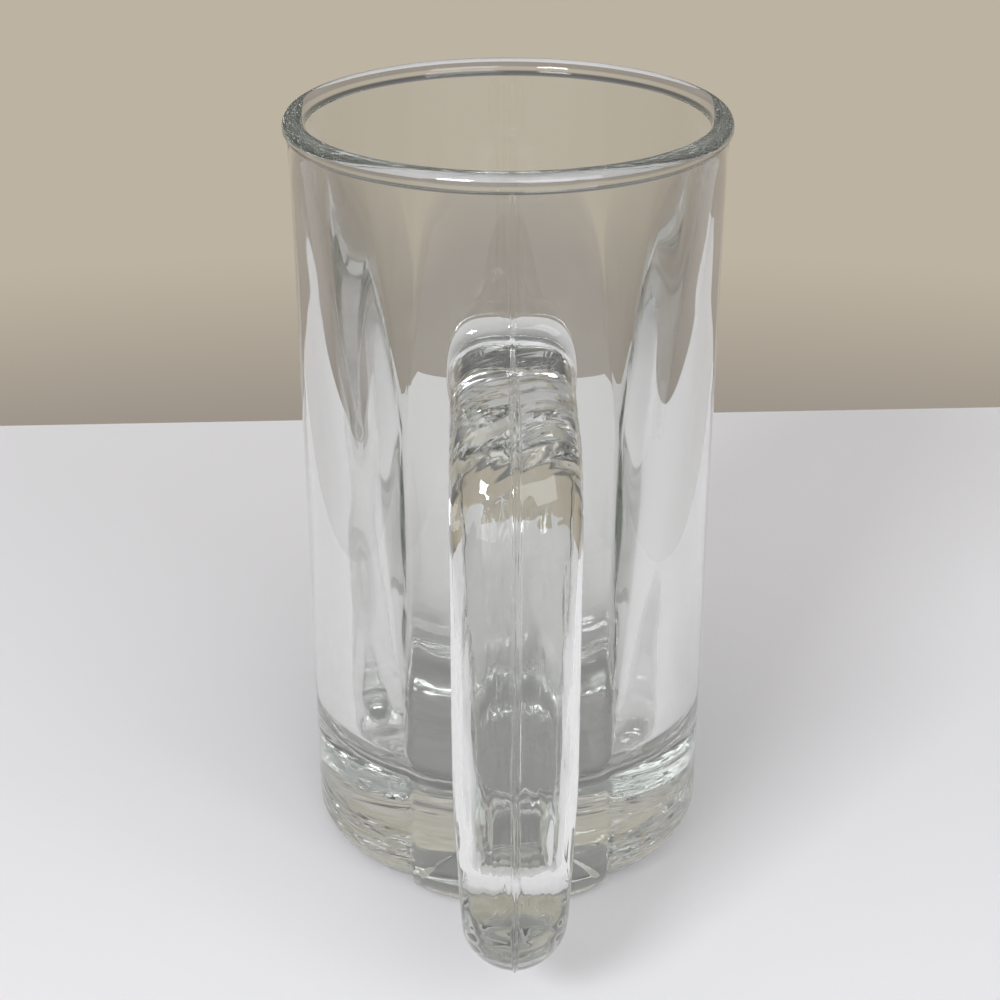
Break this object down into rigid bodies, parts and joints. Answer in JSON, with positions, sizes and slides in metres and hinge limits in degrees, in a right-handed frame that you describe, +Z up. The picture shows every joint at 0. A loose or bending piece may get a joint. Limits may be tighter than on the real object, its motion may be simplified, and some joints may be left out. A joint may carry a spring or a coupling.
{
  "type": "paneled glass beer mug",
  "caption": "Tall clear pressed-glass beer mug: a straight paneled bowl with a beaded rim and a heavy base, and a D-shaped glass handle at its front.",
  "frame": {"origin": "centre of the flat standing face, on the axis of the bowl", "axes": "+Z up along the bowl's axis; the handle points to -Y; the YZ plane is the mould's parting plane"},
  "size_m": [0.084, 0.1295, 0.1516],
  "materials": {
    "body_glass": "clear fire-polished pressed glass",
    "handle_glass": "clear fire-polished pressed glass with slight press ripples"
  },
  "bodies": {
    "root": {"mug_body": "body_glass", "handle": "handle_glass"}
  },
  "joints": []
}
